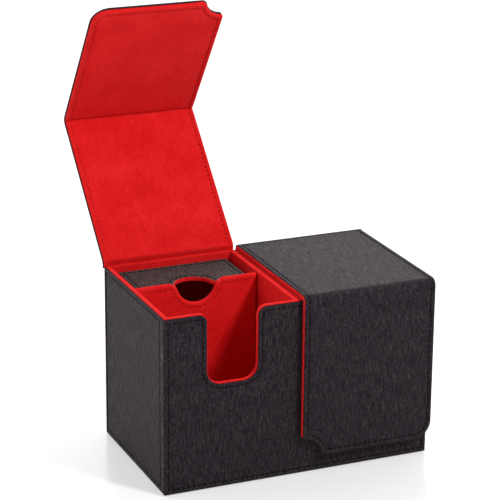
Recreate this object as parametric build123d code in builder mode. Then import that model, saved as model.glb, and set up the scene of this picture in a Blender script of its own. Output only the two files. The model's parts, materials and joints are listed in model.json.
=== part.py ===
from build123d import *
from math import cos, radians, sin
import os

os.makedirs("parts", exist_ok=True)

# A twin card box. The table is Z = 0, the front faces -Y, and X = 0 is the middle of the centre wall.
# Sizes are in millimetres. Each pocket is the mirror image of the other.

# Case, outside
case_width = 156.0
case_depth = 91.5
case_height = 100.0  # table to the top of the rim

# Cloth, suede and boards
cover_t = 0.7
lining_t = 0.7
wall_board_t = 1.8
base_board_t = 1.8
centre_board_t = 4.4

# Cut-out in the front wall of each pocket
cut_width = 28.6
cut_floor = 59.8  # table to the bottom of the cut-out
cut_corner_r = 8.0
cut_lip_r = 5.0

# Upright divider between the deck bay and the tray bay
deck_bay_depth = 47.3
divider_board_t = 1.8
divider_side_gap = 0.5
divider_drop = 0.6  # rim to the divider's top edge
notch_r = 11.3
notch_centre_drop = 1.0  # divider's top edge to the notch's centre
notch_lip_r = 4.0

# Tray, standing on edge with its open side towards the divider
tray_side_gap = 3.4
tray_front_gap = 0.8
tray_back_gap = 0.5
tray_drop = 3.4  # rim to the tray's top
tray_floor_gap = 0.2
tray_skin_t = 0.5
tray_board_t = 1.2
tray_notch_r = 11.0

# Lids and front flaps
lid_board_t = 1.6
flap_board_t = 2.2
lid_overhang = 0.7  # past the side of the case
lid_gap = 1.8  # between the two lids
seat_gap = 0.3  # rim to the closed lid
front_gap = 0.4  # front wall to the closed flap
hinge_r = 1.6
fold_r = 4.2
swing_gap = 0.3
flap_foot = 10.2  # table to the closed flap's lower edge
flap_corner_r = 10.0
scoop_r = 10.0
scoop_shelf = 2.6  # flap's inner edge to the scoop's centre
scoop_rise = 2.6  # flap's lower edge to the scoop's centre
scoop_lip_r = 1.6
scoop_foot_r = 2.2

# Catch magnets
magnet_r = 6.0
magnet_t = 1.5
magnet_fit = 0.1
magnet_height = 34.0
magnet_spacing = 36.0

# How far each lid stands open from shut, and how far its flap is folded
lid_opening = {"left": 134.3, "right": 0.0}
flap_folding = {"left": 79.7, "right": 90.0}
side_sign = {"left": -1, "right": 1}

# Worked out from the sizes above
wall_t = cover_t + wall_board_t + lining_t
floor_t = cover_t + base_board_t + lining_t
centre_t = centre_board_t + 2 * lining_t
half_width = case_width / 2
half_depth = case_depth / 2
board_foot = cover_t + base_board_t
board_top = case_height - lining_t
pocket_width = half_width - wall_t - centre_t / 2
pocket_depth = case_depth - 2 * wall_t
pocket_x = (centre_t / 2 + half_width - wall_t) / 2
front_plane = Plane.XZ.offset(half_depth)

divider_t = divider_board_t + 2 * lining_t
divider_top = case_height - divider_drop
divider_front = -half_depth + wall_t + deck_bay_depth
divider_back = divider_front + divider_t
divider_width = pocket_width - 2 * divider_side_gap
divider_plane = Plane.XZ.offset(-divider_front)

tray_t = tray_board_t + 2 * tray_skin_t
tray_width = pocket_width - 2 * tray_side_gap
tray_front = divider_back + tray_front_gap
tray_back = half_depth - wall_t - tray_back_gap
tray_depth = tray_back - tray_front
tray_top = case_height - tray_drop

lid_t = lid_board_t + cover_t + lining_t
flap_t = flap_board_t + cover_t + lining_t
lid_width = half_width + lid_overhang - lid_gap / 2
lid_x = lid_gap / 2 + lid_width / 2
hinge_y = half_depth - hinge_r
hinge_z = case_height + seat_gap + lid_t - hinge_r
fold_y = fold_r - half_depth - front_gap - flap_t
fold_z = case_height + seat_gap + lid_t - fold_r
lid_reach = hinge_y - fold_y
lid_start = hinge_r + swing_gap
flap_reach = fold_z - flap_foot
strip_t = cover_t + lining_t


def finish(piece, name):
    piece.part.label = name
    export_step(piece.part, f"parts/{name}.step")


def front_wall_face(side, inset):
    """One pocket's half of the front wall, seen from the front, with its cut-out."""
    top = case_height - inset
    floor = cut_floor - inset
    width = cut_width + 2 * inset
    x = side_sign[side]
    with BuildSketch() as wall:
        with Locations((x * half_width / 2, board_foot)):
            Rectangle(half_width, top - board_foot, align=(Align.CENTER, Align.MIN))
        with Locations((x * pocket_x, floor)):
            Rectangle(width, top - floor, align=(Align.CENTER, Align.MIN), mode=Mode.SUBTRACT)
        by_cut = wall.vertices().filter_by(lambda v: abs(abs(v.X - x * pocket_x) - width / 2) < 0.01)
        fillet(by_cut.group_by(Axis.Y)[0], cut_corner_r + inset)
        by_cut = wall.vertices().filter_by(lambda v: abs(abs(v.X - x * pocket_x) - width / 2) < 0.01)
        fillet(by_cut.group_by(Axis.Y)[-1], cut_lip_r - inset)
    return wall.sketch


def divider_face(inset):
    """A divider seen from the front, about the pocket's middle."""
    top = divider_top - inset
    with BuildSketch() as face:
        with Locations((0, floor_t)):
            Rectangle(divider_width - 2 * inset, top - floor_t, align=(Align.CENTER, Align.MIN))
        with Locations((0, divider_top - notch_centre_drop)):
            Circle(notch_r + inset, mode=Mode.SUBTRACT)
        lips = face.vertices().filter_by(lambda v: abs(v.X) < divider_width / 4)
        fillet(lips.group_by(Axis.Y)[-1], notch_lip_r - inset)
    return face.sketch


def tray_notch_face(side, radius):
    """The finger notch in a tray's top wall, seen from above."""
    with BuildSketch() as notch:
        with Locations((side_sign[side] * pocket_x, tray_front)):
            Circle(radius)
    return notch.sketch


def lid_plane(side):
    """Plane on the hinge axis, facing out of the lid, with the lid on its -Y side."""
    facing = radians(90 - lid_opening[side])
    return Plane((0, hinge_y, hinge_z), x_dir=(1, 0, 0), z_dir=(0, cos(facing), sin(facing)))


def flap_plane(side):
    """Plane on the fold axis, facing out of the flap, with the flap on its -Y side."""
    facing = radians(90 - lid_opening[side] + flap_folding[side])
    axis = lid_plane(side).from_local_coords((0, -lid_reach, hinge_r - fold_r))
    return Plane(axis, x_dir=(1, 0, 0), z_dir=(0, cos(facing), sin(facing)))


def lid_face(side, inset):
    """The top panel of a lid, between the hinge and the fold."""
    with BuildSketch() as face:
        with Locations((side_sign[side] * lid_x, -(lid_start + lid_reach - swing_gap) / 2)):
            Rectangle(lid_width - 2 * inset, lid_reach - swing_gap - lid_start - 2 * inset)
    return face.sketch


def flap_face(side, inset):
    """A front flap: round outer corner, and a scoop out of the corner by the other flap."""
    inner = lid_gap / 2 + inset
    outer = lid_gap / 2 + lid_width - inset
    foot = -flap_reach + inset
    top = -swing_gap - inset
    scoop_x = lid_gap / 2 + scoop_shelf
    scoop_y = -flap_reach + scoop_rise
    radius = scoop_r + inset
    with BuildSketch() as face:
        with Locations(((inner + outer) / 2, top)):
            Rectangle(outer - inner, top - foot, align=(Align.CENTER, Align.MAX))
        fillet(face.vertices().group_by(Axis.Y)[0].sort_by(Axis.X)[-1], flap_corner_r - inset)
        with BuildLine():
            Polyline((scoop_x, scoop_y + radius), (0, scoop_y + radius), (0, -flap_reach),
                     (scoop_x + radius, -flap_reach), (scoop_x + radius, scoop_y))
            CenterArc((scoop_x, scoop_y), radius, 0, 90)
        make_face(mode=Mode.SUBTRACT)
        foot_corner = face.vertices().group_by(Axis.Y)[0].sort_by(Axis.X)[0]
        fillet(foot_corner, scoop_foot_r - inset)
        lip_corner = face.vertices().group_by(Axis.X)[0].sort_by(Axis.Y)[0]
        fillet(lip_corner, scoop_lip_r - inset)
        if side == "left":
            mirror(about=Plane.YZ, mode=Mode.REPLACE)
    return face.sketch


def magnet_spots(side, level):
    """Centres of one pocket's two catch magnets, level being their second coordinate."""
    middle = side_sign[side] * pocket_x
    return [(middle - magnet_spacing / 2, level), (middle + magnet_spacing / 2, level)]


# ---- Case boards

with BuildPart() as base_board:
    with BuildSketch(Plane.XY.offset(cover_t)):
        Rectangle(case_width - 2 * cover_t, case_depth - 2 * cover_t)
    extrude(amount=base_board_t)
finish(base_board, "base_board")

with BuildPart() as front_board:
    with BuildSketch(front_plane.offset(-cover_t)):
        add(front_wall_face("left", lining_t))
        add(front_wall_face("right", lining_t))
        for end in (-1, 1):
            with Locations((end * half_width, 0)):
                Rectangle(2 * cover_t, 2 * case_height, mode=Mode.SUBTRACT)
    extrude(amount=-wall_board_t)
    with BuildSketch(front_plane.offset(-cover_t)):
        with Locations(magnet_spots("left", magnet_height) + magnet_spots("right", magnet_height)):
            Circle(magnet_r + magnet_fit)
    extrude(amount=-magnet_t, mode=Mode.SUBTRACT)
finish(front_board, "front_board")

with BuildPart() as back_board:
    with BuildSketch(front_plane.offset(cover_t - case_depth)):
        with Locations((0, board_foot)):
            Rectangle(case_width - 2 * cover_t, board_top - board_foot, align=(Align.CENTER, Align.MIN))
    extrude(amount=wall_board_t)
finish(back_board, "back_board")

inner_board_depth = case_depth - 2 * (cover_t + wall_board_t)
for side in ("left", "right"):
    with BuildPart() as side_board:
        with BuildSketch(Plane.XY.offset(board_foot)):
            with Locations((side_sign[side] * (half_width - cover_t - wall_board_t / 2), 0)):
                Rectangle(wall_board_t, inner_board_depth)
        extrude(amount=board_top - board_foot)
    finish(side_board, f"{side}_side_board")

with BuildPart() as centre_board:
    with BuildSketch(Plane.XY.offset(board_foot)):
        Rectangle(centre_board_t, inner_board_depth)
    extrude(amount=board_top - board_foot)
finish(centre_board, "centre_board")

# ---- Case covers

with BuildPart() as bottom_cover:
    with BuildSketch():
        Rectangle(case_width, case_depth)
    extrude(amount=cover_t)
finish(bottom_cover, "bottom_cover")

with BuildPart() as front_cover:
    with BuildSketch(front_plane):
        add(front_wall_face("left", lining_t))
        add(front_wall_face("right", lining_t))
        with Locations((0, cover_t)):
            Rectangle(case_width, base_board_t, align=(Align.CENTER, Align.MIN))
    extrude(amount=-cover_t)
finish(front_cover, "front_cover")

with BuildPart() as back_cover:
    with BuildSketch(front_plane.offset(-case_depth)):
        with Locations((0, cover_t)):
            Rectangle(case_width, board_top - cover_t, align=(Align.CENTER, Align.MIN))
    extrude(amount=cover_t)
finish(back_cover, "back_cover")

for side in ("left", "right"):
    with BuildPart() as side_cover:
        with BuildSketch(Plane.XY.offset(cover_t)):
            with Locations((side_sign[side] * (half_width - cover_t / 2), 0)):
                Rectangle(cover_t, case_depth - 2 * cover_t)
        extrude(amount=board_top - cover_t)
    finish(side_cover, f"{side}_side_cover")

# ---- Pocket linings: a suede sleeve, turned over the rim and round the cut-out

for side in ("left", "right"):
    x = side_sign[side]
    with BuildPart() as pocket_lining:
        with BuildSketch(Plane.XY.offset(floor_t - lining_t)):
            with Locations((x * pocket_x, 0)):
                Rectangle(pocket_width + 2 * lining_t, pocket_depth + 2 * lining_t)
        extrude(amount=case_height - floor_t + lining_t)
        with BuildSketch(Plane.XY.offset(board_top)):
            with Locations((x * half_width / 2, 0)):
                Rectangle(half_width, case_depth)
        extrude(amount=lining_t)
        with BuildSketch(front_plane):
            add(front_wall_face(side, 0))
            add(front_wall_face(side, lining_t), mode=Mode.SUBTRACT)
        extrude(amount=-wall_t)
        with BuildSketch(Plane.XY.offset(floor_t)):
            with Locations((x * pocket_x, 0)):
                Rectangle(pocket_width, pocket_depth)
        extrude(amount=case_height, mode=Mode.SUBTRACT)
        with BuildSketch(front_plane):
            with Locations((x * pocket_x, cut_floor)):
                Rectangle(cut_width + 2 * cut_lip_r, case_height, align=(Align.CENTER, Align.MIN))
            add(front_wall_face(side, 0), mode=Mode.SUBTRACT)
        extrude(amount=-wall_t, mode=Mode.SUBTRACT)
    finish(pocket_lining, f"{side}_pocket_lining")

# ---- Dividers

for side in ("left", "right"):
    x = side_sign[side]
    with BuildPart() as divider_board:
        with BuildSketch(divider_plane.offset(-lining_t)):
            with Locations((x * pocket_x, 0)):
                add(divider_face(lining_t))
        extrude(amount=-divider_board_t)
    finish(divider_board, f"{side}_divider_board")

    with BuildPart() as divider_lining:
        with BuildSketch(divider_plane):
            with Locations((x * pocket_x, 0)):
                add(divider_face(0))
        extrude(amount=-divider_t)
        with BuildSketch(divider_plane.offset(-lining_t)):
            with Locations((x * pocket_x, 0)):
                add(divider_face(lining_t))
        extrude(amount=-divider_board_t, mode=Mode.SUBTRACT)
    finish(divider_lining, f"{side}_divider_lining")

# ---- Trays: four board walls and a back, cloth outside, suede inside and round the open edge.
# The left one lifts out, so it stands clear of the floor. The right one rests on it.

for side in ("left", "right"):
    x = side_sign[side] * pocket_x
    foot = floor_t + (tray_floor_gap if side == "left" else 0)
    height = tray_top - foot
    middle = foot + height / 2
    mouth = Plane.XZ.offset(-tray_front)
    board_mouth = mouth.offset(-tray_skin_t)
    inner_back = tray_depth - tray_t
    board_back = tray_depth - tray_skin_t - tray_board_t

    with BuildPart() as tray_frame:
        with BuildSketch(board_mouth):
            with Locations((x, middle)):
                Rectangle(tray_width - 2 * tray_skin_t, height - 2 * tray_skin_t)
                Rectangle(tray_width - 2 * (tray_t - tray_skin_t), height - 2 * (tray_t - tray_skin_t),
                          mode=Mode.SUBTRACT)
        extrude(amount=-(board_back - tray_skin_t))
        with BuildSketch(Plane.XY.offset(middle)):
            add(tray_notch_face(side, tray_notch_r + tray_skin_t))
        extrude(amount=height, mode=Mode.SUBTRACT)
    finish(tray_frame, f"{side}_tray_frame")

    with BuildPart() as tray_back_board:
        with BuildSketch(mouth.offset(-board_back)):
            with Locations((x, middle)):
                Rectangle(tray_width - 2 * tray_skin_t, height - 2 * tray_skin_t)
        extrude(amount=-tray_board_t)
    finish(tray_back_board, f"{side}_tray_back_board")

    with BuildPart() as tray_cover:
        with BuildSketch(board_mouth):
            with Locations((x, middle)):
                Rectangle(tray_width, height)
        extrude(amount=-(tray_depth - tray_skin_t))
        with BuildSketch(board_mouth):
            with Locations((x, middle)):
                Rectangle(tray_width - 2 * tray_skin_t, height - 2 * tray_skin_t)
        extrude(amount=-(tray_depth - 2 * tray_skin_t), mode=Mode.SUBTRACT)
        with BuildSketch(Plane.XY.offset(middle)):
            add(tray_notch_face(side, tray_notch_r + tray_skin_t))
        extrude(amount=height, mode=Mode.SUBTRACT)
    finish(tray_cover, f"{side}_tray_cover")

    with BuildPart() as tray_lining:
        with BuildSketch(mouth):
            with Locations((x, middle)):
                Rectangle(tray_width, height)
        extrude(amount=-tray_skin_t)
        with BuildSketch(mouth):
            with Locations((x, middle)):
                Rectangle(tray_width - 2 * (tray_t - tray_skin_t), height - 2 * (tray_t - tray_skin_t))
        extrude(amount=-board_back)
        with BuildSketch(Plane.XY.offset(tray_top - tray_t)):
            add(tray_notch_face(side, tray_notch_r + tray_skin_t))
            with Locations((x, tray_front)):
                Rectangle(tray_width, tray_depth, align=(Align.CENTER, Align.MAX), mode=Mode.SUBTRACT)
        extrude(amount=tray_t)
        with BuildSketch(mouth):
            with Locations((x, middle)):
                Rectangle(tray_width - 2 * tray_t, height - 2 * tray_t)
        extrude(amount=-inner_back, mode=Mode.SUBTRACT)
        with BuildSketch(Plane.XY.offset(middle)):
            add(tray_notch_face(side, tray_notch_r))
        extrude(amount=height, mode=Mode.SUBTRACT)
    finish(tray_lining, f"{side}_tray_lining")

# ---- Lids: board in a suede tray, with the cloth on the outside

for side in ("left", "right"):
    outside = lid_plane(side).offset(hinge_r)

    with BuildPart() as lid_cover:
        with BuildSketch(outside.offset(-cover_t)):
            add(lid_face(side, 0))
        extrude(amount=cover_t)
    finish(lid_cover, f"{side}_lid_cover")

    with BuildPart() as lid_board:
        with BuildSketch(outside.offset(-cover_t)):
            add(lid_face(side, lining_t))
        extrude(amount=-lid_board_t)
    finish(lid_board, f"{side}_lid_board")

    with BuildPart() as lid_lining:
        with BuildSketch(outside.offset(-cover_t)):
            add(lid_face(side, 0))
        extrude(amount=-(lid_board_t + lining_t))
        with BuildSketch(outside.offset(-cover_t)):
            add(lid_face(side, lining_t))
        extrude(amount=-lid_board_t, mode=Mode.SUBTRACT)
    finish(lid_lining, f"{side}_lid_lining")

# ---- Front flaps, built as the lids are, with magnets let into the inner face of the board

for side in ("left", "right"):
    outside = flap_plane(side).offset(fold_r)
    magnet_plane = outside.offset(-cover_t - flap_board_t)
    magnet_level = magnet_height - fold_z

    with BuildPart() as flap_cover:
        with BuildSketch(outside.offset(-cover_t)):
            add(flap_face(side, 0))
        extrude(amount=cover_t)
    finish(flap_cover, f"{side}_flap_cover")

    with BuildPart() as flap_board:
        with BuildSketch(outside.offset(-cover_t)):
            add(flap_face(side, lining_t))
        extrude(amount=-flap_board_t)
        with BuildSketch(magnet_plane):
            with Locations(magnet_spots(side, magnet_level)):
                Circle(magnet_r + magnet_fit)
        extrude(amount=magnet_t, mode=Mode.SUBTRACT)
    finish(flap_board, f"{side}_flap_board")

    with BuildPart() as flap_lining:
        with BuildSketch(outside.offset(-cover_t)):
            add(flap_face(side, 0))
        extrude(amount=-(flap_board_t + lining_t))
        with BuildSketch(outside.offset(-cover_t)):
            add(flap_face(side, lining_t))
        extrude(amount=-flap_board_t, mode=Mode.SUBTRACT)
    finish(flap_lining, f"{side}_flap_lining")

    with BuildPart() as flap_magnets:
        with BuildSketch(magnet_plane):
            with Locations(magnet_spots(side, magnet_level)):
                Circle(magnet_r)
        extrude(amount=magnet_t)
    finish(flap_magnets, f"{side}_flap_magnets")

    with BuildPart() as case_magnets:
        with BuildSketch(front_plane.offset(-cover_t)):
            with Locations(magnet_spots(side, magnet_height)):
                Circle(magnet_r)
        extrude(amount=-magnet_t)
    finish(case_magnets, f"{side}_case_magnets")

# ---- Soft strips of cloth and suede: one along each hinge, one along each fold

for side in ("left", "right"):
    lid_start_x = side_sign[side] * lid_x - lid_width / 2
    hinge_section = Plane((lid_start_x, hinge_y, hinge_z), x_dir=(0, 1, 0), z_dir=(1, 0, 0))
    with BuildPart() as hinge_strip:
        with BuildSketch(hinge_section):
            with Locations((hinge_r - strip_t / 2, (case_height - hinge_z) / 2)):
                Rectangle(strip_t, hinge_z - case_height)
            if lid_opening[side] < 90:
                with BuildLine():
                    CenterArc((0, 0), hinge_r, 0, 90 - lid_opening[side])
                    CenterArc((0, 0), hinge_r - strip_t, 0, 90 - lid_opening[side])
                    Line((hinge_r - strip_t, 0), (hinge_r, 0))
                    Line(Vector(0, hinge_r), Vector(0, hinge_r - strip_t))
                make_face()
        extrude(amount=lid_width)
        if lid_opening[side] >= 90:
            with BuildSketch(lid_plane(side).offset(hinge_r - strip_t)):
                with Locations((side_sign[side] * lid_x, 0)):
                    Rectangle(lid_width, hinge_r, align=(Align.CENTER, Align.MAX))
            extrude(amount=strip_t)
    finish(hinge_strip, f"{side}_hinge_strip")

    fold_axis = flap_plane(side).origin
    fold_section = Plane((lid_start_x, fold_axis.Y, fold_axis.Z), x_dir=(0, 1, 0), z_dir=(1, 0, 0))
    lid_facing = 90 - lid_opening[side]
    flap_facing = lid_facing + flap_folding[side]
    with BuildPart() as fold_strip:
        with BuildSketch(fold_section):
            with BuildLine():
                outer_arc = CenterArc((0, 0), fold_r, lid_facing, flap_folding[side])
                inner_arc = CenterArc((0, 0), fold_r - strip_t, lid_facing, flap_folding[side])
                Line(outer_arc @ 0, inner_arc @ 0)
                Line(outer_arc @ 1, inner_arc @ 1)
            make_face()
        extrude(amount=lid_width)
        with BuildSketch(lid_plane(side).offset(hinge_r - strip_t)):
            with Locations((side_sign[side] * lid_x, -lid_reach)):
                Rectangle(lid_width, swing_gap, align=(Align.CENTER, Align.MIN))
        extrude(amount=strip_t)
    finish(fold_strip, f"{side}_fold_strip")
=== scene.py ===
import json
import math

import bmesh
import bpy
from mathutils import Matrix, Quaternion, Vector


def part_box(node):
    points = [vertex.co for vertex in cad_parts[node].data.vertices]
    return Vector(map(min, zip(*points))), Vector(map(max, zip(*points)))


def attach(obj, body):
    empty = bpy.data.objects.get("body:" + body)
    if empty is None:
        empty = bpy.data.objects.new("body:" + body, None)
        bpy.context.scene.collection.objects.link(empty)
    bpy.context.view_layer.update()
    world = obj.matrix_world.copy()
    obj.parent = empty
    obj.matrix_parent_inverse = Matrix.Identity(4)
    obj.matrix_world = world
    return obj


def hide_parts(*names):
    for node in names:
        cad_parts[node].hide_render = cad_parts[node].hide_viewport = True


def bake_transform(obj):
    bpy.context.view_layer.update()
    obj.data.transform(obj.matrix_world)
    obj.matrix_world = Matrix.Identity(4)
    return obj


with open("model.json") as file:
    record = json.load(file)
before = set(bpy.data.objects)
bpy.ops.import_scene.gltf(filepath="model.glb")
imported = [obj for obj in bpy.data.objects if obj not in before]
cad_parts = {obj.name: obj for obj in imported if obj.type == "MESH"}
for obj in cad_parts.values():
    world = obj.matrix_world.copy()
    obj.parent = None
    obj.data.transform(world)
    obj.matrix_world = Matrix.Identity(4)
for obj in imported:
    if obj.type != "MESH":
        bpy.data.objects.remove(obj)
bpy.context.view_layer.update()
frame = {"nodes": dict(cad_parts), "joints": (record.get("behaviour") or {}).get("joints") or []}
joints = {joint["name"]: joint for joint in frame["joints"]}
mm = 0.001  # lengths are in millimetres unless a note says otherwise
print("frame loaded,", len(frame["nodes"]), "CAD nodes")


def boxOf(node):  # a CAD node's low and high corners
    low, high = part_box(node)
    return low / mm, high / mm


def jointAt(name):  # a hinge's y and z
    place = joints[name]["pos_m"]
    return place[1] / mm, place[2] / mm


def fromShut(name):  # how far a hinge stands from its shut position, in radians
    return math.radians(-joints[name]["range_deg"][0])


def smooth(value):  # an even ease from 0 to 1
    value = min(1.0, max(0.0, value))
    return value * value * (3 - 2 * value)


# An outline is a ring of arcs joined by straight lines, counterclockwise. An arc is (centre x, centre y,
# radius, first angle, last angle), and one that turns clockwise is hollow. A hollow arc between straight
# edges also gives, for each end, the direction of the edge it runs out to and how far its centre lies
# inside that edge, since an edge that moves in past the centre cuts the arc short.
outline = {"degreesPerStep": 9, "fullStepsFrom": 3, "leastRadius": 0.03, "spacing": 6.0, "apart": 1e-4,
           "merge": 0.01, "cutWithin": 1e-4}


def arcPoints(arc, inset):
    cx, cy, radius, first, last = arc[:5]
    least = outline["leastRadius"]
    share = min(1.0, radius / outline["fullStepsFrom"])
    steps = max(2, round(abs(last - first) / outline["degreesPerStep"] * share))
    size = radius - inset if last > first else radius + inset
    if len(arc) > 5:
        firstBase, firstGap, lastBase, lastGap = arc[5:]
        first = min(first, firstBase - math.degrees(math.asin(max(0, inset - firstGap) / size)))
        last = max(last, lastBase + math.degrees(math.asin(max(0, inset - lastGap) / size)))
    middle = math.radians((first + last) / 2)
    if size < least:
        back = (least - size) / math.cos(math.radians(last - first) / 2)
        cx -= back * math.cos(middle)
        cy -= back * math.sin(middle)
        size = least
    points = []
    for i in range(steps + 1):
        angle = math.radians(first + (last - first) * i / steps)
        points.append((cx + size * math.cos(angle), cy + size * math.sin(angle)))
    return points


def cornerPoints(arcs, i, inset):  # a lip lost beside a cut-short hollow arc closes up to the arc's end
    arc, before, after = arcs[i], arcs[i - 1], arcs[(i + 1) % len(arcs)]
    points = arcPoints(arc, inset)
    if arc[2] - inset < outline["leastRadius"] and arc[4] > arc[3]:
        if len(before) > 5 and inset > before[8]:
            points = [arcPoints(before, inset)[-1]] * len(points)
        if len(after) > 5 and inset > after[6]:
            points = [arcPoints(after, inset)[0]] * len(points)
        apart = outline["apart"]
        points = [(x + apart * k, y + apart * k) for k, (x, y) in enumerate(points)]
    return points


def ringPoints(arcs, inset, spacing=outline["spacing"]):
    points = []
    for i, arc in enumerate(arcs):
        after = arcs[(i + 1) % len(arcs)]
        start, end = arcPoints(arc, 0)[-1], arcPoints(after, 0)[0]
        pieces = max(1, round(math.dist(start, end) / spacing))
        here = cornerPoints(arcs, i, inset)
        points += here
        start, end = here[-1], cornerPoints(arcs, (i + 1) % len(arcs), inset)[0]
        for k in range(1, pieces):
            share = k / pieces
            points.append((start[0] + (end[0] - start[0]) * share, start[1] + (end[1] - start[1]) * share))
    return points


def rectArcs(x0, y0, x1, y1, radius):
    return [(x1 - radius, y0 + radius, radius, -90, 0), (x1 - radius, y1 - radius, radius, 0, 90),
            (x0 + radius, y1 - radius, radius, 90, 180), (x0 + radius, y0 + radius, radius, 180, 270)]


def newPiece(name, bm, material, sharp=42):
    bmesh.ops.recalc_face_normals(bm, faces=bm.faces)
    mesh = bpy.data.meshes.new(name)
    bm.to_mesh(mesh)
    bm.free()
    for polygon in mesh.polygons:
        polygon.use_smooth = True
    mesh.set_sharp_from_angle(angle=math.radians(sharp))
    piece = bpy.data.objects.new(name, mesh)
    bpy.context.scene.collection.objects.link(piece)
    mesh.materials.append(material)
    return piece


def layFlat(bm, place, offset):  # keeps each point's flat cloth position, then puts it where it belongs
    layer = bm.verts.layers.float_vector.new("cloth")
    for v in bm.verts:
        v[layer] = (v.co + Vector(offset)) * mm
        v.co = place(*v.co) * mm


def cutAcross(bm, at, clear=False):
    parts = bm.verts[:] + bm.edges[:] + bm.faces[:]
    bmesh.ops.bisect_plane(bm, geom=parts, dist=outline["cutWithin"], plane_co=(0, at, 0),
                           plane_no=(0, 1, 0), clear_inner=clear)


def panel(name, arcs, rings, place, material, cuts=(), begin=None, offset=(0, 0, 0)):
    # rings is a list of (distance in from the outline, height), from the underside to the middle of the face
    bm = bmesh.new()
    loops = []
    for inset, height in rings:
        loops.append([bm.verts.new((x, y, height)) for x, y in ringPoints(arcs, inset)])
    count = len(loops[0])
    for lower, upper in zip(loops, loops[1:]):
        for i in range(count):
            k = (i + 1) % count
            bm.faces.new((lower[i], lower[k], upper[k], upper[i]))
    bm.faces.new(loops[-1])
    bm.faces.new(loops[0][::-1])
    bmesh.ops.remove_doubles(bm, verts=bm.verts, dist=outline["merge"])
    for at in cuts:
        cutAcross(bm, at)
    if begin is not None:  # what lies before this line is taken off and the end is closed
        cutAcross(bm, begin, True)
        rim = [e for e in bm.edges if e.is_boundary]
        bmesh.ops.contextual_create(bm, geom=rim)
    layFlat(bm, place, offset)
    return newPiece(name, bm, material)


# one stitch from end to end: (share of half its length, share of its thickness, share of its dip)
stitchShape = ((-1.0, 0.35, 1.0), (-0.78, 0.8, 0.5), (-0.35, 1.0, 0.08),
               (0.35, 1.0, 0.08), (0.78, 0.8, 0.5), (1.0, 0.35, 1.0))
stitchRow = {"spacing": 1.0, "ahead": 0.2, "wobble": 0.06, "wobbleTurn": 12.9898, "sides": 6, "sharp": 80}


def stitches(name, arcs, inset, place, style, material, keep=None):
    # a row of separate stitches, each a short tapered run of thread that dips into the cloth at both ends
    path = ringPoints(arcs, inset, stitchRow["spacing"])
    path.append(path[0])
    lengths = [0.0]
    for a, b in zip(path, path[1:]):
        lengths.append(lengths[-1] + math.dist(a, b))
    total = lengths[-1]
    number = round(total / style["pitch"])
    pitch = total / number

    def along(distance):
        distance = distance % total
        low, high = 0, len(lengths) - 1
        while high - low > 1:
            middle = (low + high) // 2
            if lengths[middle] <= distance:
                low = middle
            else:
                high = middle
        share = (distance - lengths[low]) / max(1e-9, lengths[low + 1] - lengths[low])
        return Vector((path[low][0] + (path[low + 1][0] - path[low][0]) * share,
                       path[low][1] + (path[low + 1][1] - path[low][1]) * share, 0))

    step, sides = stitchRow["ahead"], stitchRow["sides"]
    bm = bmesh.new()
    for n in range(number):
        centre = along((n + 0.5) * pitch)
        if keep is not None and not keep(centre.x, centre.y):
            continue
        wobble = stitchRow["wobble"] * math.sin(n * stitchRow["wobbleTurn"])
        rows = []
        for share, size, dip in stitchShape:
            distance = (n + 0.5) * pitch + share * style["length"] / 2
            at = along(distance)
            ahead = (along(distance + step) - along(distance - step)).normalized()
            side = Vector((-ahead.y, ahead.x, 0))
            radius = style["thick"] / 2 * size
            height = style["height"] - dip * style["dip"]
            row = []
            for k in range(sides):
                angle = math.radians(360 / sides * k)
                out = side * (radius * math.cos(angle) + wobble)
                rise = radius * math.sin(angle) * style["up"]
                row.append(bm.verts.new((at.x + out.x, at.y + out.y, height + rise)))
            rows.append(row)
        for lower, upper in zip(rows, rows[1:]):
            for k in range(sides):
                after = (k + 1) % sides
                bm.faces.new((lower[k], lower[after], upper[after], upper[k]))
        bm.faces.new(rows[0][::-1])
        bm.faces.new(rows[-1])
    layFlat(bm, place, (0, 0, 0))
    return newPiece(name, bm, material, stitchRow["sharp"])


surfaceOutputs = (("Tone", "NodeSocketFloat"), ("Height", "NodeSocketFloat"))


def surfaceGroup(name, inputs):  # reads the cloth position and gives a tone and a height
    group = bpy.data.node_groups.new(name, "ShaderNodeTree")
    group.interface.new_socket(name="Vector", in_out="INPUT", socket_type="NodeSocketVector")
    for label, value in inputs:
        made = group.interface.new_socket(name=label, in_out="INPUT", socket_type="NodeSocketFloat")
        made.default_value = value
    for label, kind in surfaceOutputs:
        group.interface.new_socket(name=label, in_out="OUTPUT", socket_type=kind)
    source, sink = group.nodes.new("NodeGroupInput"), group.nodes.new("NodeGroupOutput")
    split = group.nodes.new("ShaderNodeSeparateXYZ")
    group.links.new(source.outputs["Vector"], split.inputs[0])
    return group, source, sink, split


def feed(tree, socket, value):  # a number is set on the socket and anything else is linked to it
    if isinstance(value, (int, float)):
        socket.default_value = value
    else:
        tree.links.new(value, socket)


def mathNode(tree, kind, *values):
    node = tree.nodes.new("ShaderNodeMath")
    node.operation = kind
    for socket, value in zip(node.inputs, values):
        feed(tree, socket, value)
    return node.outputs[0]


def times(tree, first, second):
    return mathNode(tree, "MULTIPLY", first, second)


def mixed(tree, *parts):  # a sum of (value, share)
    total = times(tree, *parts[0])
    for part in parts[1:]:
        total = mathNode(tree, "ADD", total, times(tree, *part))
    return total


def noiseAt(tree, places, detail=2.0, rough=0.5):  # noise read at three worked-out numbers
    joined = tree.nodes.new("ShaderNodeCombineXYZ")
    for socket, value in zip(joined.inputs, places):
        feed(tree, socket, value)
    noise = tree.nodes.new("ShaderNodeTexNoise")
    noise.inputs["Scale"].default_value = 1.0
    noise.inputs["Detail"].default_value = detail
    noise.inputs["Roughness"].default_value = rough
    tree.links.new(joined.outputs[0], noise.inputs["Vector"])
    return noise.outputs[0]


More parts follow.
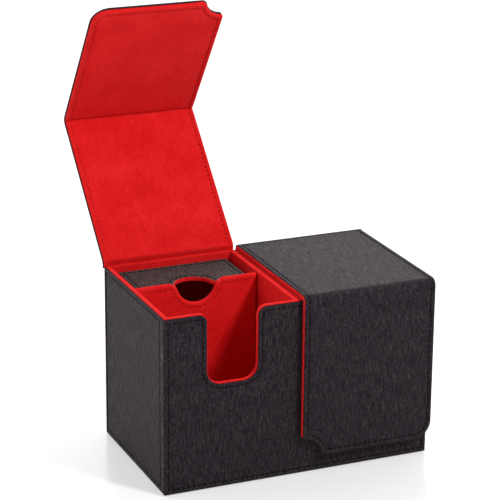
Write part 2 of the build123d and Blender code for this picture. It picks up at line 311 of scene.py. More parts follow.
def buildWeave():
    # linen look: fine yarns both ways, thicker slubs along the warp, and a mix of pale and dark fibre
    group, source, sink, split = surfaceGroup("linenWeave", (("Yarns per mm", 2.0), ("Slub", 0.5)))
    yarns = times(group, source.outputs["Yarns per mm"], 1000.0)  # per metre
    across = times(group, split.outputs[0], yarns)
    up = times(group, split.outputs[1], yarns)
    deep = times(group, split.outputs[2], 300.0)
    warp = noiseAt(group, (across, times(group, up, 0.16), deep))
    weft = noiseAt(group, (times(group, across, 0.2), up, mathNode(group, "ADD", deep, 7.0)))
    slub = noiseAt(group, (times(group, across, 0.6), times(group, up, 0.05), deep), 1.0)
    heather = noiseAt(group, (times(group, across, 0.95), times(group, up, 0.8), deep), 3.0, 0.75)
    centred = mathNode(group, "SUBTRACT", slub, 0.5)
    tone = mixed(group, (warp, 0.34), (weft, 0.26), (heather, 0.4), (centred, source.outputs["Slub"]))
    group.links.new(tone, sink.inputs["Tone"])
    waves = [mathNode(group, "SINE", times(group, way, math.pi)) for way in (across, up)]
    warpRidge, weftRidge = (mathNode(group, "ABSOLUTE", wave) for wave in waves)
    height = mixed(group, (warpRidge, 0.5), (weftRidge, 0.35), (tone, 1.3))
    group.links.new(height, sink.inputs["Height"])
    return group


def buildNap():
    # suede: short brushed fibre with cloudy patches where the nap lies another way
    group, source, sink, split = surfaceGroup("suedeNap", (("Cloud size mm", 16.0),))
    axes = [times(group, split.outputs[i], 1000.0) for i in range(3)]  # metres to millimetres
    cloudAxes = [mathNode(group, "DIVIDE", a, source.outputs["Cloud size mm"]) for a in axes]
    brushedAxes = [times(group, a, share) for a, share in zip(axes, (0.9, 0.35, 0.9))]
    cloud = noiseAt(group, cloudAxes, 3.0, 0.55)
    brushed = noiseAt(group, brushedAxes, 3.0, 0.6)
    fibre = noiseAt(group, [times(group, a, 3.2) for a in axes], 2.0, 0.6)
    group.links.new(mixed(group, (cloud, 0.36), (brushed, 0.34), (fibre, 0.3)), sink.inputs["Tone"])
    group.links.new(mixed(group, (fibre, 0.7), (brushed, 0.5)), sink.inputs["Height"])
    return group


weaveGroup = buildWeave()
napGroup = buildNap()

linen = {"dark": (0.0034, 0.0021, 0.0038), "middle": (0.0148, 0.0103, 0.0147), "pale": (0.053, 0.040, 0.048),
         "stops": (0.39, 0.49, 0.61), "yarns": 2.4, "slub": 0.27, "gloss": 0.1, "rough": (0.5, 0.7),
         "bump": 0.09, "bumpStrength": 0.9}
paleLinen = dict(linen, dark=(0.012, 0.010, 0.011), middle=(0.037, 0.031, 0.031), pale=(0.102, 0.088, 0.086))
suede = {"dark": (0.57, 0.005, 0.006), "middle": (0.665, 0.009, 0.010), "pale": (0.75, 0.018, 0.018),
         "stops": (0.36, 0.5, 0.64), "sheen": 0.12, "sheenRough": 0.45, "sheenTint": (1.0, 0.3, 0.3, 1),
         "gloss": 0.1, "rough": (0.86, 0.98), "bump": 0.07, "bumpStrength": 0.8}
thread = {"dark": (0.0015, 0.0015, 0.002), "pale": (0.006, 0.005, 0.006), "stops": (0.4, 0.6),
          "scale": 1800.0, "rough": 0.7, "gloss": 0.1}
hiddenThread = dict(thread, dark=(0.10, 0.001, 0.0015), pale=(0.20, 0.002, 0.003), rough=0.9, gloss=0.05)
board = {"dark": (0.20, 0.18, 0.15), "pale": (0.34, 0.31, 0.27), "stops": (0.35, 0.65),
         "scale": 900.0, "detail": 4.0, "rough": 0.9, "bump": 0.05, "bumpStrength": 0.6}
magnet = {"dark": (0.42, 0.42, 0.44), "pale": (0.62, 0.62, 0.64), "stops": (0.3, 0.7),
          "scale": 700.0, "rough": 0.32}
toneRange = (0.35, 0.65)  # the tones over which roughness changes


def addMaterial(name):
    material = bpy.data.materials.new(name)
    material.use_nodes = True
    tree = material.node_tree
    return material, tree, tree.nodes["Principled BSDF"]


def tint(tree, shader, tone, settings):  # colours the surface by its tone
    colours = [settings[key] for key in ("dark", "middle", "pale") if key in settings]
    stops = list(zip(settings["stops"], colours))
    ramp = tree.nodes.new("ShaderNodeValToRGB")
    elements = ramp.color_ramp.elements
    elements[0].position, elements[1].position = stops[0][0], stops[-1][0]
    for at, colour in stops[1:-1]:
        elements.new(at)
    for element, (at, colour) in zip(elements, stops):
        element.color = (*colour, 1)
    tree.links.new(tone, ramp.inputs[0])
    tree.links.new(ramp.outputs[0], shader.inputs["Base Color"])


def addBump(tree, shader, height, settings):
    bump = tree.nodes.new("ShaderNodeBump")
    bump.inputs["Distance"].default_value = settings["bump"] * mm
    bump.inputs["Strength"].default_value = settings["bumpStrength"]
    tree.links.new(height, bump.inputs["Height"])
    tree.links.new(bump.outputs[0], shader.inputs["Normal"])


def clothPlace(tree):
    flat = tree.nodes.new("ShaderNodeAttribute")
    flat.attribute_name = "cloth"
    return flat.outputs["Vector"]


def objectPlace(tree):
    return tree.nodes.new("ShaderNodeTexCoord").outputs["Object"]


def clothMaterial(name, groupTree, settings, surfaceValues, shaderValues):  # dark fibre is rougher than pale
    material, tree, shader = addMaterial(name)
    surface = tree.nodes.new("ShaderNodeGroup")
    surface.node_tree = groupTree
    for label, value in surfaceValues.items():
        surface.inputs[label].default_value = value
    tree.links.new(clothPlace(tree), surface.inputs["Vector"])
    tint(tree, shader, surface.outputs["Tone"], settings)
    rough = tree.nodes.new("ShaderNodeMapRange")
    rough.inputs["From Min"].default_value, rough.inputs["From Max"].default_value = toneRange
    rough.inputs["To Max"].default_value, rough.inputs["To Min"].default_value = settings["rough"]
    tree.links.new(surface.outputs["Tone"], rough.inputs["Value"])
    tree.links.new(rough.outputs[0], shader.inputs["Roughness"])
    shader.inputs["Specular IOR Level"].default_value = settings["gloss"]
    for label, value in shaderValues.items():
        shader.inputs[label].default_value = value
    addBump(tree, shader, surface.outputs["Height"], settings)
    return material


def linenMaterial(name, settings):
    weave = {"Yarns per mm": settings["yarns"], "Slub": settings["slub"]}
    return clothMaterial(name, weaveGroup, settings, weave, {})


def suedeMaterial(name, settings):
    sheen = {"Sheen Weight": settings["sheen"], "Sheen Roughness": settings["sheenRough"],
             "Sheen Tint": settings["sheenTint"]}
    return clothMaterial(name, napGroup, settings, {}, sheen)


def noisyMaterial(name, settings, placeOf):  # two tones of noise
    material, tree, shader = addMaterial(name)
    noise = tree.nodes.new("ShaderNodeTexNoise")
    noise.inputs["Scale"].default_value = settings["scale"]
    tree.links.new(placeOf(tree), noise.inputs["Vector"])
    tint(tree, shader, noise.outputs[0], settings)
    shader.inputs["Roughness"].default_value = settings["rough"]
    return material, tree, shader, noise


def threadMaterial(name, settings):
    material, tree, shader, noise = noisyMaterial(name, settings, clothPlace)
    shader.inputs["Specular IOR Level"].default_value = settings["gloss"]
    return material


def boardMaterial(name, settings):
    material, tree, shader, noise = noisyMaterial(name, settings, objectPlace)
    noise.inputs["Detail"].default_value = settings["detail"]
    addBump(tree, shader, noise.outputs[0], settings)
    return material


def magnetMaterial(name, settings):
    material, tree, shader, noise = noisyMaterial(name, settings, objectPlace)
    shader.inputs["Metallic"].default_value = 1.0
    return material


linenCloth = linenMaterial("greyLinen", linen)
trayLinen = linenMaterial("trayLinen", paleLinen)
redSuede = suedeMaterial("redSuede", suede)
blackThread = threadMaterial("blackThread", thread)
redThread = threadMaterial("redThread", hiddenThread)
greyBoard = boardMaterial("greyBoard", board)
nickel = magnetMaterial("nickel", magnet)

for nodeName, node in frame["nodes"].items():  # boards and magnets keep their CAD shapes
    if nodeName.endswith(("magnets", "board", "frame")):
        node.data.materials.clear()
        node.data.materials.append(nickel if nodeName.endswith("magnets") else greyBoard)
print("materials built")

axisX, axisY, axisZ = Vector((1, 0, 0)), Vector((0, 1, 0)), Vector((0, 0, 1))


def facing(origin, across, up, out):  # puts a flat panel on a face of a box
    def place(u, v, h):
        return origin + across * u + up * v + out * h
    return place


def clothRings(cloth):  # an edge rolled over, a bead, the stitched groove and the flat field
    bend, seam, groove, field, deep = (cloth[key] for key in ("bend", "stitchIn", "groove", "field", "deep"))
    if deep:  # the cloth is turned in over the edge
        rings, first = [(bend + 0.3, -deep), (0.05, -deep), (0.0, -deep + 0.1)], 0
    else:  # the edge is mitred, so that two panels share a corner
        rings, first = [(bend + 0.3, -cloth["thick"]), (bend * 0.293 + 0.15, -cloth["thick"])], 45
    for degrees in range(first, 90, 15):
        angle = math.radians(degrees)
        rings.append((bend - bend * math.cos(angle), bend * math.sin(angle) - bend))
    middle = (bend + seam - 0.3) / 2
    return rings + [(bend, 0.0), (middle, 0.02), (seam - 0.75, -groove * 0.2), (seam - 0.45, -groove * 0.6),
                    (seam - 0.15, -groove), (seam + 0.15, -groove),
                    (seam + 0.5, -field - (groove - field) * 0.4), (seam + 1.0, -field - 0.02),
                    (seam + 2.0, -field)]


def clothPanel(name, nodes, body, arcs, place, cloth, style, offset=(0, 0, 0), material=linenCloth):
    piece = panel(name, arcs, clothRings(cloth), place, material, offset=offset)
    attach(piece, body)
    if nodes:
        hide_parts(*nodes)
    row = stitches(name + "_thread", arcs, cloth["stitchIn"], place, style, blackThread)
    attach(row, body)


# The case has five cloth panels that meet in rolled corners.
case = {"cutWidth": 28.6, "cutFloor": 59.8, "cutCorner": 8.0, "cutLip": 5.0, "corner": 0.3, "rim": 0.12,
        "seamShift": 3.6, "shiftFrom": 0.5, "shiftFull": 0.4, "shiftHold": 0.3, "shiftEnd": 16.0}
wallCloth = {"thick": 0.9, "bend": 1.0, "stitchIn": 2.7, "groove": 0.5, "field": 0.18, "deep": 0.0}
caseStitch = {"pitch": 3.05, "length": 2.3, "thick": 0.62, "height": -0.3, "dip": 0.32, "up": 1.0}
linerHigh = boxOf("right_pocket_lining")[1]
bottomHigh = boxOf("bottom_cover")[1]
clothTop = linerHigh.z - case["rim"]
halfWidth, halfDepth = bottomHigh.x, bottomHigh.y


def sideFacing(sign):  # the front's cloth runs round the corner, so the side's seam there lies further in
    flat = facing(Vector((sign * halfWidth, 0, 0)), axisY * sign, axisZ, axisX * sign)
    seam, begin = wallCloth["stitchIn"], wallCloth["bend"] * case["shiftFrom"]

    def place(u, v, h):
        inside = sign * u + halfDepth
        if inside < seam + case["shiftHold"]:
            share = smooth((inside - begin) / (seam - case["shiftFull"] - begin))
        else:
            share = 1 - smooth((inside - seam - case["shiftHold"]) / case["shiftEnd"])
        return flat(u + sign * (case["seamShift"] * share), v, h)
    return place


def frontArcs():  # the front, with a thumb cut-out for each pocket
    rim, top = case["rim"], clothTop
    lip, turn = case["cutLip"] - rim, case["cutCorner"] + rim
    half, floor = case["cutWidth"] / 2 + rim, case["cutFloor"] - rim
    dividerLow, dividerHigh = boxOf("right_divider_lining")
    pocketX = (dividerLow.x + dividerHigh.x) / 2
    corners = rectArcs(-halfWidth, 0.0, halfWidth, top, case["corner"])
    arcs = corners[:2]
    for middle in (pocketX, -pocketX):
        arcs += [(middle + half + lip, top - lip, lip, 90, 180),
                 (middle + half - turn, floor + turn, turn, 0, -90),
                 (middle - half + turn, floor + turn, turn, -90, -180),
                 (middle - half - lip, top - lip, lip, 0, 90)]
    return arcs + corners[2:]


backArcs = rectArcs(-halfWidth, 0, halfWidth, clothTop, case["corner"])
sideArcs = rectArcs(-halfDepth, 0, halfDepth, clothTop, case["corner"])
bottomArcs = rectArcs(-halfWidth, -halfDepth, halfWidth, halfDepth, case["corner"])
frontPlace = facing(Vector((0, -halfDepth, 0)), axisX, axisZ, -axisY)
backPlace = facing(Vector((0, halfDepth, 0)), -axisX, axisZ, axisY)
bottomPlace = facing(Vector((0, 0, 0)), axisX, -axisY, -axisZ)
clothPanel("case_front_cloth", ["front_cover"], "case", frontArcs(), frontPlace, wallCloth, caseStitch)
clothPanel("case_back_cloth", ["back_cover"], "case", backArcs, backPlace, wallCloth, caseStitch,
           (400, 0, 0))
for side, sign in (("left", -1), ("right", 1)):
    clothPanel(f"case_{side}_cloth", [f"{side}_side_cover"], "case", sideArcs, sideFacing(sign), wallCloth,
               caseStitch, (sign * 200, 0, 0))
clothPanel("case_bottom_cloth", ["bottom_cover"], "case", bottomArcs, bottomPlace, wallCloth, caseStitch,
           (0, 300, 0))
print("case cloth built")

# Each pocket has a suede sleeve, and a wrapped divider with a finger notch.
suedeSkin = {"sameWithin": 1e-6, "flatWithin": 1, "bevelFrom": 40, "segments": 4}  # metres, then degrees
pocket = {"roll": 0.32, "tuck": 0.8}
divider = {"notchDown": 1.0, "notch": 11.3, "lip": 6.0, "seam": 2.9, "roll": 1.55, "groove": 0.16,
           "corner": 0.5, "seamFrom": 30, "seamEnd": 4, "clothShift": 60}
dividerStitch = {"pitch": 2.9, "length": 1.2, "thick": 0.46, "height": -0.1, "dip": 0.2, "up": 0.6}


def softened(name, node, width, tuck=0.0):  # a CAD skin in suede, with its edges rolled over
    bm = bmesh.new()
    bm.from_mesh(frame["nodes"][node].data)
    bmesh.ops.remove_doubles(bm, verts=bm.verts, dist=suedeSkin["sameWithin"])
    for v in bm.verts:  # the turned-over rim is drawn in, so that the cloth outside it stands proud
        v.co.x = min(max(v.co.x, (-halfWidth + tuck) * mm), (halfWidth - tuck) * mm)
        v.co.y = min(max(v.co.y, (-halfDepth + tuck) * mm), (halfDepth - tuck) * mm)
    flatWithin, bevelFrom = math.radians(suedeSkin["flatWithin"]), math.radians(suedeSkin["bevelFrom"])
    bmesh.ops.dissolve_limit(bm, angle_limit=flatWithin, verts=bm.verts, edges=bm.edges)
    edges = [e for e in bm.edges if len(e.link_faces) == 2 and e.calc_face_angle(0) > bevelFrom]
    bmesh.ops.bevel(bm, geom=edges, offset=width * mm, segments=suedeSkin["segments"], profile=0.5,
                    affect="EDGES", clamp_overlap=True)
    layer = bm.verts.layers.float_vector.new("cloth")
    for v in bm.verts:
        v[layer] = v.co
    piece = newPiece(name, bm, redSuede)
    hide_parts(node)
    return piece


def dividerRings(thick):  # both faces of a wrapped board, each with a bead along the edge and a sewn groove
    roll, seam, groove = divider["roll"], divider["seam"], divider["groove"]
    front = []
    for degrees in range(15, 91, 15):
        angle = math.radians(degrees)
        front.append((roll - roll * math.cos(angle), roll * math.sin(angle) - roll))
    front += [(seam - 0.6, -0.03), (seam - 0.25, -groove), (seam + 0.15, -groove), (seam + 0.6, -0.12),
              (seam + 1.4, -0.1)]
    return [(inset, -thick - height) for inset, height in front[::-1]] + [(0.0, -thick / 2)] + front


def dividerArcs(low, high):
    middle, lip, notch = (low.x + high.x) / 2, divider["lip"], divider["notch"]
    drop = lip - divider["notchDown"]
    reach = math.sqrt((notch + lip) ** 2 - drop ** 2)
    tilt = math.degrees(math.asin(drop / (notch + lip)))
    arcs = rectArcs(low.x, low.z, high.x, high.z, divider["corner"])
    arcs[2:2] = [(middle + reach, high.z - lip, lip, 90, 180 - tilt),
                 (middle, high.z - divider["notchDown"], notch, -tilt, -180 + tilt),
                 (middle - reach, high.z - lip, lip, tilt, 90)]
    return arcs


for side in ("left", "right"):
    sleeve = softened(f"{side}_pocket_suede", f"{side}_pocket_lining", pocket["roll"], pocket["tuck"])
    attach(sleeve, "case")

for side, sign in (("left", -1), ("right", 1)):
    low, high = boxOf(f"{side}_divider_lining")
    arcs = dividerArcs(low, high)
    front = facing(Vector((0, low.y, 0)), axisX, axisZ, -axisY)
    wrapped = panel(f"{side}_divider_suede", arcs, dividerRings(high.y - low.y), front, redSuede,
                    offset=(0, 0, sign * divider["clothShift"]))
    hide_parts(f"{side}_divider_lining")
    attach(wrapped, "case")
    sewnFrom = low.z + divider["seamFrom"]
    sewnLeft, sewnRight = low.x + divider["seamEnd"], high.x - divider["seamEnd"]
    row = stitches(f"{side}_divider_thread", arcs, divider["seam"], front, dividerStitch, redThread,
                   lambda x, z: z > sewnFrom and sewnLeft < x < sewnRight)
    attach(row, "case")
print("pockets lined")

# Each tray is a box on edge, with its open side to the front and a finger notch in the top.
tray = {"notch": 11.5, "notchLip": 1.0, "corner": 0.3, "suedeRoll": 0.22, "clothFrom": 600, "clothStep": 100}
trayCloth = {"thick": 0.45, "bend": 0.9, "stitchIn": 2.6, "groove": 0.4, "field": 0.12, "deep": 0.0}
trayStitch = {"pitch": 3.05, "length": 2.3, "thick": 0.58, "height": -0.2, "dip": 0.3, "up": 1.0}


def notchArcs(low, high):  # a rectangle with a round bite out of its lower side
    middle, radius, lip = (low.x + high.x) / 2, tray["notch"], tray["notchLip"]
    reach = math.sqrt((radius + lip) ** 2 - lip ** 2)
    tilt = math.degrees(math.asin(lip / (radius + lip)))
    return rectArcs(low.x, low.y, high.x, high.y, tray["corner"]) + [
        (middle - reach, low.y + lip, lip, -90, -tilt),
        (middle, low.y, radius, 180 - tilt, tilt, 180, 0, 0, 0),
        (middle + reach, low.y + lip, lip, 180 + tilt, 270)]


for side, body in (("left", "left_tray"), ("right", "case")):
    low, high = boxOf(f"{side}_tray_cover")
    corner = tray["corner"]
    faces = (
        ("top", notchArcs(low, high), facing(Vector((0, 0, high.z)), axisX, axisY, axisZ)),
        ("bottom", rectArcs(low.x, -high.y, high.x, -low.y, corner),
         facing(Vector((0, 0, low.z)), axisX, -axisY, -axisZ)),
        ("back", rectArcs(-high.x, low.z, -low.x, high.z, corner),
         facing(Vector((0, high.y, 0)), -axisX, axisZ, axisY)),
        ("outer", rectArcs(low.y, low.z, high.y, high.z, corner),
         facing(Vector((high.x, 0, 0)), axisY, axisZ, axisX)),
        ("inner", rectArcs(-high.y, low.z, -low.y, high.z, corner),
         facing(Vector((low.x, 0, 0)), -axisY, axisZ, -axisX)))
    for number, (face, arcs, place) in enumerate(faces):
        nodes = [f"{side}_tray_cover"] if face == "top" else []
        offset = (0, tray["clothFrom"] + tray["clothStep"] * number, 0)
        clothPanel(f"{side}_tray_{face}_cloth", nodes, body, arcs, place, trayCloth, trayStitch, offset,
                   trayLinen)
    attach(softened(f"{side}_tray_suede", f"{side}_tray_lining", tray["suedeRoll"]), body)
print("trays built")

# Each lid with its front flap is one cloth and one lining, worked out flat for the right-hand side: u runs
# across, s runs from the hinge to the flap's foot, and h is the height over the cloth's face.
lid = {"corner": 10.0, "scoop": 12.5, "scoopX": -0.85, "scoopUp": -1.37, "scoopLip": 1.6, "scoopToe": 3.6,
       "edge": 0.6, "overrun": 12, "turnIn": 1.0, "scoopTurnIn": 2.0, "outerTurnIn": 0.5, "turnedFrom": 0.2,
       "scoopFrom": 0.2, "scoopFade": 1.2, "outerFrom": 0.3, "footFrom": 20, "foldSteps": 12,
       "bendBefore": 1.7, "bendAfter": 1.5, "clothMiddle": 1200, "clothShift": 200}
lidCloth = {"bend": 0.9, "stitchIn": 2.7, "groove": 0.5, "field": 0.18, "deep": lid["turnIn"]}
lining = {"innerIn": -0.3, "outerIn": 0.5, "footIn": 0.5, "scoopIn": 0.2, "skin": 0.7, "roll": 0.9,
          "inset": 0.05, "groove": 0.42, "top": -0.66, "field": 0.14, "creaseThick": 2.75,
          "creaseReach": 0.45, "creaseSteps": 4, "seamFrom": 1.6, "seamGap": 1.5}
liningStitch = {"pitch": 2.9, "length": 1.25, "thick": 0.55, "height": 0.22, "dip": -0.3, "up": 1.0}
hingeY, hingeZ = jointAt("right_lid_hinge")
foldY, foldZ = jointAt("right_flap_fold")
lidLow, lidHigh = boxOf("right_lid_cover")
flapLow = boxOf("right_flap_cover")[0]
lidTop = lidHigh.z
lidThick = lidTop - boxOf("right_lid_lining")[0].z
flapThick = boxOf("right_flap_lining")[1].y - flapLow.y
foldR = lidTop - foldZ
lidReach = hingeY - foldY
lidStart = hingeY - lidHigh.y
foldRun = math.pi / 2 * foldR
flapStart = lidReach + foldRun
flapEnd = flapStart + foldZ - flapLow.z
scoopX, scoopS = lidLow.x + lid["scoopX"], flapEnd - lid["scoopUp"]


def turned(y, z, centreY, centreZ, angle):  # turns a point the way a lid opens
    dy, dz = y - centreY, z - centreZ
    return (centreY + dy * math.cos(angle) + dz * math.sin(angle),
            centreZ - dy * math.sin(angle) + dz * math.cos(angle))


def liningThick(s):  # the lining sinks in along the fold, so that it can crease
    reach = lining["creaseReach"]
    full = lidThick + (flapThick - lidThick) * smooth((s - lidReach) / foldRun)
    into = smooth((s - lidReach + reach) / reach)
    outOf = smooth((flapStart + reach - s) / reach)
    return full + (lining["creaseThick"] - full) * into * outOf


def liningHeight(s, h):
    skin = lining["skin"]
    if h >= -skin:
        return h
    return -skin - (-skin - h) / (lidThick - skin) * (liningThick(s) - skin)


def clothHeight(u, s, h):  # the cloth is turned in deeper at the scoop, and a little along the outer edges
    if h >= -lid["turnIn"] + lid["turnedFrom"]:
        return h
    fromScoop = math.dist((u, s), (scoopX, scoopS)) - lid["scoop"]
    away = smooth((fromScoop - lid["scoopFrom"]) / lid["scoopFade"])
    h -= (lid["scoopTurnIn"] - lid["turnIn"]) * (1 - away)
    fromOuter = lidHigh.x - u
    if u > lidLow.x + lid["footFrom"]:
        fromOuter = min(fromOuter, flapEnd - s)
    return h - lid["outerTurnIn"] * (1 - smooth(fromOuter - lid["outerFrom"]))


def lidPlace(side, mirrored, lined=False):
    opening, unfold = fromShut(f"{side}_lid_hinge"), fromShut(f"{side}_flap_fold")

    def place(u, s, h):
        h = liningHeight(s, h) if lined else clothHeight(u, s, h)
        share = min(1.0, max(0.0, (s - lidReach) / foldRun))
        if s <= lidReach:
            y, z = hingeY - s, lidTop + h
        elif s < flapStart:
            angle, radius = share * math.pi / 2, foldR + h
            y, z = foldY - radius * math.sin(angle), foldZ + radius * math.cos(angle)
        else:
            y, z = foldY - foldR - h, foldZ - (s - flapStart)
        y, z = turned(y, z, foldY, foldZ, unfold * share)
        y, z = turned(y, z, hingeY, hingeZ, opening)
        return Vector((u * mirrored, y, z))
    return place


def lidArcs(innerIn=0.0, outerIn=0.0, footIn=0.0, scoopIn=0.0):  # runs on past the hinge, to be cut there
    x0, x1 = lidLow.x + innerIn, lidHigh.x - outerIn
    foot, begin, edge = flapEnd - footIn, lidStart - lid["overrun"], lid["edge"]
    corner, scoop = lid["corner"] - outerIn, lid["scoop"] + scoopIn
    lip, toe = lid["scoopLip"], lid["scoopToe"]
    lipAngle = -math.acos((x0 + lip - scoopX) / (scoop + lip))
    toeAngle = math.asin((foot - toe - scoopS) / (scoop + toe))
    lipTurn, toeTurn = math.degrees(lipAngle), math.degrees(toeAngle)
    return [(x1 - edge, begin + edge, edge, -90, 0), (x1 - corner, foot - corner, corner, 0, 90),
            (scoopX + (scoop + toe) * math.cos(toeAngle), foot - toe, toe, 90, 180 + toeTurn),
            (scoopX, scoopS, scoop, toeTurn, lipTurn, 0, foot - scoopS, -90, scoopX - x0),
            (x0 + lip, scoopS + (scoop + lip) * math.sin(lipAngle), lip, 180 + lipTurn, 180),
            (x0 + edge, begin + edge, edge, 180, 270)]


def liningRings():  # a rolled edge, a sewn groove and the padded-looking field
    roll, inset, groove, top = (lining[key] for key in ("roll", "inset", "groove", "top"))
    face, seam = -lidThick, lidCloth["stitchIn"]
    rings = [(1.2, top), (inset + 0.3, top), (inset, -0.8), (inset, face + roll)]
    for degrees in (20, 40, 60, 80):
        angle = math.radians(degrees)
        rings.append((inset + roll - roll * math.cos(angle), face + roll - roll * math.sin(angle)))
    return rings + [(inset + roll + 0.2, face), (seam - 0.8, face + 0.03), (seam - 0.4, face + groove * 0.6),
                    (seam - 0.1, face + groove), (seam + 0.15, face + groove),
                    (seam + 0.5, face + groove * 0.6), (seam + 1.0, face + 0.16),
                    (seam + 2.0, face + lining["field"])]


creaseReach, creaseSteps = lining["creaseReach"], lining["creaseSteps"]
foldCuts = [lidReach + foldRun * i / lid["foldSteps"] for i in range(lid["foldSteps"] + 1)]
creaseCuts = [lidReach - creaseReach * (1 - i / creaseSteps) for i in range(creaseSteps)]
creaseCuts += [flapStart + creaseReach * (i + 1) / creaseSteps for i in range(creaseSteps)]
coverArcs = lidArcs()
liningArcs = lidArcs(lining["innerIn"], lining["outerIn"], lining["footIn"], lining["scoopIn"])
liningStyle = dict(liningStitch, height=-lidThick + liningStitch["height"])
sewnFrom, seamIn = lidStart + lining["seamFrom"], lidCloth["stitchIn"]
gapFrom, gapTo = lidReach - lining["seamGap"], flapStart + lining["seamGap"]

for side, sign in (("left", -1), ("right", 1)):
    clothAt, liningAt = lidPlace(side, sign), lidPlace(side, sign, True)
    joins, offset = (f"{side}_lid", f"{side}_flap"), (lid["clothMiddle"] + lid["clothShift"] * sign, 0, 0)
    foldLine = (clothAt(0, flapStart, -2) - clothAt(0, lidReach, -2)).normalized()
    axisPoint = clothAt(0, lidReach, -foldR)
    cover = panel(f"{side}_lid_cloth", coverArcs, clothRings(lidCloth), clothAt, linenCloth,
                  foldCuts, lidStart, offset)
    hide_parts(f"{side}_lid_cover", f"{side}_flap_cover", f"{side}_fold_strip")
    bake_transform(cover)
    inner = panel(f"{side}_lid_suede", liningArcs, liningRings(), liningAt, redSuede,
                  creaseCuts + foldCuts, lidStart, offset)
    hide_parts(f"{side}_lid_lining", f"{side}_flap_lining")
    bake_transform(inner)
    outerRow = stitches(f"{side}_lid_thread", coverArcs, seamIn, clothAt, caseStitch, blackThread,
                        lambda u, s: s > sewnFrom)
    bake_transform(outerRow)
    innerRow = stitches(f"{side}_lid_lining_thread", coverArcs, seamIn, liningAt, liningStyle, redThread,
                        lambda u, s: s > sewnFrom and not gapFrom < s < gapTo)
    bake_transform(innerRow)
print("lids and flaps built")

# The hinge bands, cloth outside and suede inside, run from the rim of the back wall to the lid.
hinge = {"cloth": 0.7, "rimInset": 1.3, "rimDown": 1.0, "suedeDown": 0.4, "suedeShort": 0.5, "over": 0.02,
         "steps": 12, "outerPull": 0.5, "skinPull": 0.8, "innerPull": 0.4, "shutUnder": 0.1,
         "shutFrom": 0.7, "openFrom": 1.1, "openUp": 0.1, "openRun": 2.4}
bandEnds = ((0.0, 0.25), (0.25, 0.06), (0.7, 0.0))  # (distance from the end, how far the faces close up)


def curvePoint(p0, t0, p1, t1, pull, t):
    a, b = p0 + t0 * pull, p1 - t1 * pull
    m = 1 - t
    return p0 * (m ** 3) + a * (3 * m * m * t) + b * (3 * m * t * t) + p1 * (t ** 3)


def bandMesh(name, ends, outer, inner, material):  # a strip between two curves, with its ends rolled
    bm = bmesh.new()
    count = len(outer)
    xLow, xHigh = ends
    sections = [(xLow + run, shrink) for run, shrink in bandEnds]
    sections += [(xHigh - run, shrink) for run, shrink in bandEnds[::-1]]
    rows = []
    for x, shrink in sections:
        ring = [a + (b - a) * shrink for a, b in zip(outer, inner)]
        ring += [b + (a - b) * shrink for a, b in zip(outer, inner)][::-1]
        rows.append([bm.verts.new((x, p.x, p.y)) for p in ring])
    for lower, upper in zip(rows, rows[1:]):
        for i in range(2 * count):
            k = (i + 1) % (2 * count)
            bm.faces.new((lower[i], lower[k], upper[k], upper[i]))
    for row, flip in ((rows[0], True), (rows[-1], False)):
        for i in range(count - 1):
            quad = (row[i], row[i + 1], row[2 * count - 2 - i], row[2 * count - 1 - i])
            bm.faces.new(quad[::-1] if flip else quad)
    layer = bm.verts.layers.float_vector.new("cloth")
    for v in bm.verts:
        v.co = v.co * mm
        v[layer] = v.co
    return newPiece(name, bm, material)


def hingeCurves(place):  # the lid's direction, then the band's outer face, middle and inner face, side on
    def flat(s, h):
        point = place(0, s, h)
        return Vector((point.y, point.z))

    edge, upward, rimZ = lidStart + hinge["over"], Vector((0, 1)), clothTop - hinge["rimDown"]
    ahead = flat(lidStart + 1, 0) - flat(lidStart, 0)
    top, skin, under = flat(edge, 0), flat(edge, -hinge["cloth"]), flat(edge, -lidThick)
    rimOuter = Vector((halfDepth + hinge["over"], rimZ))
    rimSkin = Vector((halfDepth - hinge["cloth"], rimZ))
    rimInner = Vector((halfDepth - hinge["rimInset"], linerHigh.z - hinge["suedeDown"]))
    far = (top - rimOuter).length * hinge["outerPull"]
    near = (under - rimInner).length * hinge["innerPull"]
    shares = [i / hinge["steps"] for i in range(hinge["steps"] + 1)]
    ends = ((rimOuter, top, far), (rimSkin, skin, far * hinge["skinPull"]), (rimInner, under, near))
    curves = [[curvePoint(rim, upward, tip, ahead, pull, t) for t in shares] for rim, tip, pull in ends]
    return ahead, curves


for side, sign in (("left", -1), ("right", 1)):
    ahead, (outside, middle, inside) = hingeCurves(lidPlace(side, sign))
    clothEnds = sorted(sign * x for x in (lidLow.x, lidHigh.x))
    clothBand = bandMesh(f"{side}_hinge_cloth", clothEnds, outside, middle, linenCloth)
    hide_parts(f"{side}_hinge_strip")
    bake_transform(clothBand)
    suedeEnds = sorted(sign * x for x in (lidLow.x, lidHigh.x - hinge["suedeShort"]))
    suedeBand = bandMesh(f"{side}_hinge_suede", suedeEnds, middle, inside, redSuede)
    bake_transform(suedeBand)
print("hinges built")

# The box stands on a white floor, in a room that is darker towards the front and brighter behind and on
# the left. Lengths in studio and floorLook are in metres.
studio = {"around": 0.57, "frontDrop": 0.48, "backRise": 1.9, "leftRise": 0.32, "key": 35.0,
          "keyAt": (0.38, -0.57, 0.73), "keyFar": 2.2, "keySize": 0.38, "aim": (0, 0, 0.08)}
floorLook = {"dark": tuple(c * 0.995 for c in (0.95, 0.95, 0.955)), "pale": (0.95, 0.95, 0.955),
             "stops": (0.3, 0.7), "scale": 3.0, "rough": 0.2, "lift": 0.42, "half": 6.0, "steps": 12,
             "height": -0.0003}
view = {"place": (-453.0, -1019.9, 493.7), "azimuth": 23.2745, "elevation": 18.8764, "roll": 0.46,
        "lens": 155.5, "sensor": 36.0, "shiftX": 0.0151, "shiftY": 0.00567}


def lookFrom(thing, place, target):
    thing.location = place
    thing.rotation_mode = "QUATERNION"
    thing.rotation_quaternion = (Vector(target) - Vector(place)).to_track_quat("-Z", "Y")


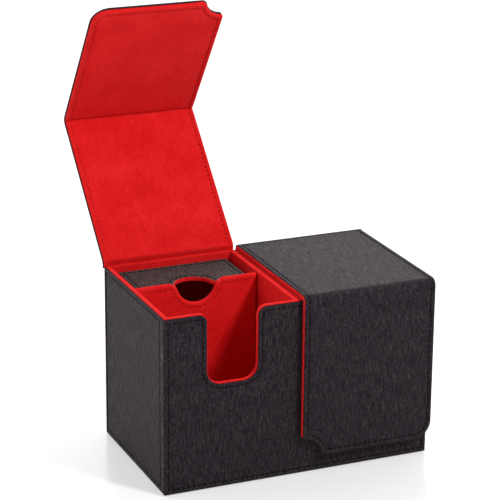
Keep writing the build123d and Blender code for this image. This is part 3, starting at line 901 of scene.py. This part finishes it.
def buildFloor():
    bm = bmesh.new()
    half, steps = floorLook["half"], floorLook["steps"]
    marks = [-half + 2 * half * i / steps for i in range(steps + 1)]
    grid = [[bm.verts.new((x, y, floorLook["height"])) for y in marks] for x in marks]
    for i in range(steps):
        for k in range(steps):
            bm.faces.new((grid[i][k], grid[i + 1][k], grid[i + 1][k + 1], grid[i][k + 1]))
    mesh = bpy.data.meshes.new("floor")
    bm.to_mesh(mesh)
    bm.free()
    floor = bpy.data.objects.new("floor", mesh)
    bpy.context.scene.collection.objects.link(floor)
    material, tree, shader, noise = noisyMaterial("whiteFloor", floorLook, objectPlace)
    white = tree.nodes.new("ShaderNodeEmission")  # the camera sees the floor lifted towards white
    ray = tree.nodes.new("ShaderNodeLightPath")
    mix = tree.nodes.new("ShaderNodeMixShader")
    tree.links.new(times(tree, ray.outputs["Is Camera Ray"], floorLook["lift"]), mix.inputs[0])
    tree.links.new(shader.outputs[0], mix.inputs[1])
    tree.links.new(white.outputs[0], mix.inputs[2])
    tree.links.new(mix.outputs[0], tree.nodes["Material Output"].inputs[0])
    mesh.materials.append(material)


def buildLight():
    data = bpy.data.lights.new("keyLight", "AREA")
    data.shape = "DISK"
    data.size = studio["keySize"]
    data.energy = studio["key"]
    light = bpy.data.objects.new("keyLight", data)
    bpy.context.scene.collection.objects.link(light)
    aim = Vector(studio["aim"])
    lookFrom(light, Vector(studio["keyAt"]) * studio["keyFar"] + aim, studio["aim"])


def buildRoom():
    world = bpy.data.worlds.new("studio")
    bpy.context.scene.world = world
    world.use_nodes = True
    tree = world.node_tree
    background = tree.nodes["Background"]
    where = tree.nodes.new("ShaderNodeTexCoord")
    split = tree.nodes.new("ShaderNodeSeparateXYZ")
    tree.links.new(where.outputs["Generated"], split.inputs[0])
    changes = ((1, -0.05, -0.8, -studio["frontDrop"]), (1, 0.05, 0.9, studio["backRise"]),
               (0, -0.2, -0.9, studio["leftRise"]))  # (axis, where the change begins and ends, how much)
    total = studio["around"]
    for axis, begin, end, change in changes:
        part = tree.nodes.new("ShaderNodeMapRange")
        part.interpolation_type = "SMOOTHSTEP"
        part.inputs["From Min"].default_value, part.inputs["From Max"].default_value = begin, end
        part.inputs["To Min"].default_value, part.inputs["To Max"].default_value = 0.0, change
        tree.links.new(split.outputs[axis], part.inputs["Value"])
        total = mathNode(tree, "ADD", part.outputs[0], total)
    background.inputs[0].default_value = (1, 1, 1, 1)
    tree.links.new(total, background.inputs[1])


def buildCamera():
    data = bpy.data.cameras.new("camera")
    data.lens, data.sensor_width = view["lens"], view["sensor"]
    data.shift_x, data.shift_y = view["shiftX"], view["shiftY"]
    camera = bpy.data.objects.new("camera", data)
    bpy.context.scene.collection.objects.link(camera)
    azimuth, elevation = math.radians(view["azimuth"]), math.radians(view["elevation"])
    level = math.cos(elevation)
    ahead = Vector((math.sin(azimuth) * level, math.cos(azimuth) * level, -math.sin(elevation)))
    place = Vector(view["place"]) * mm
    lookFrom(camera, place, place + ahead)
    roll = Quaternion((0, 0, 1), math.radians(view["roll"]))
    camera.rotation_quaternion = camera.rotation_quaternion @ roll
    bpy.context.scene.camera = camera


buildFloor()
buildLight()
buildRoom()
buildCamera()
bpy.context.scene.view_settings.view_transform = "Standard"
print("studio built")
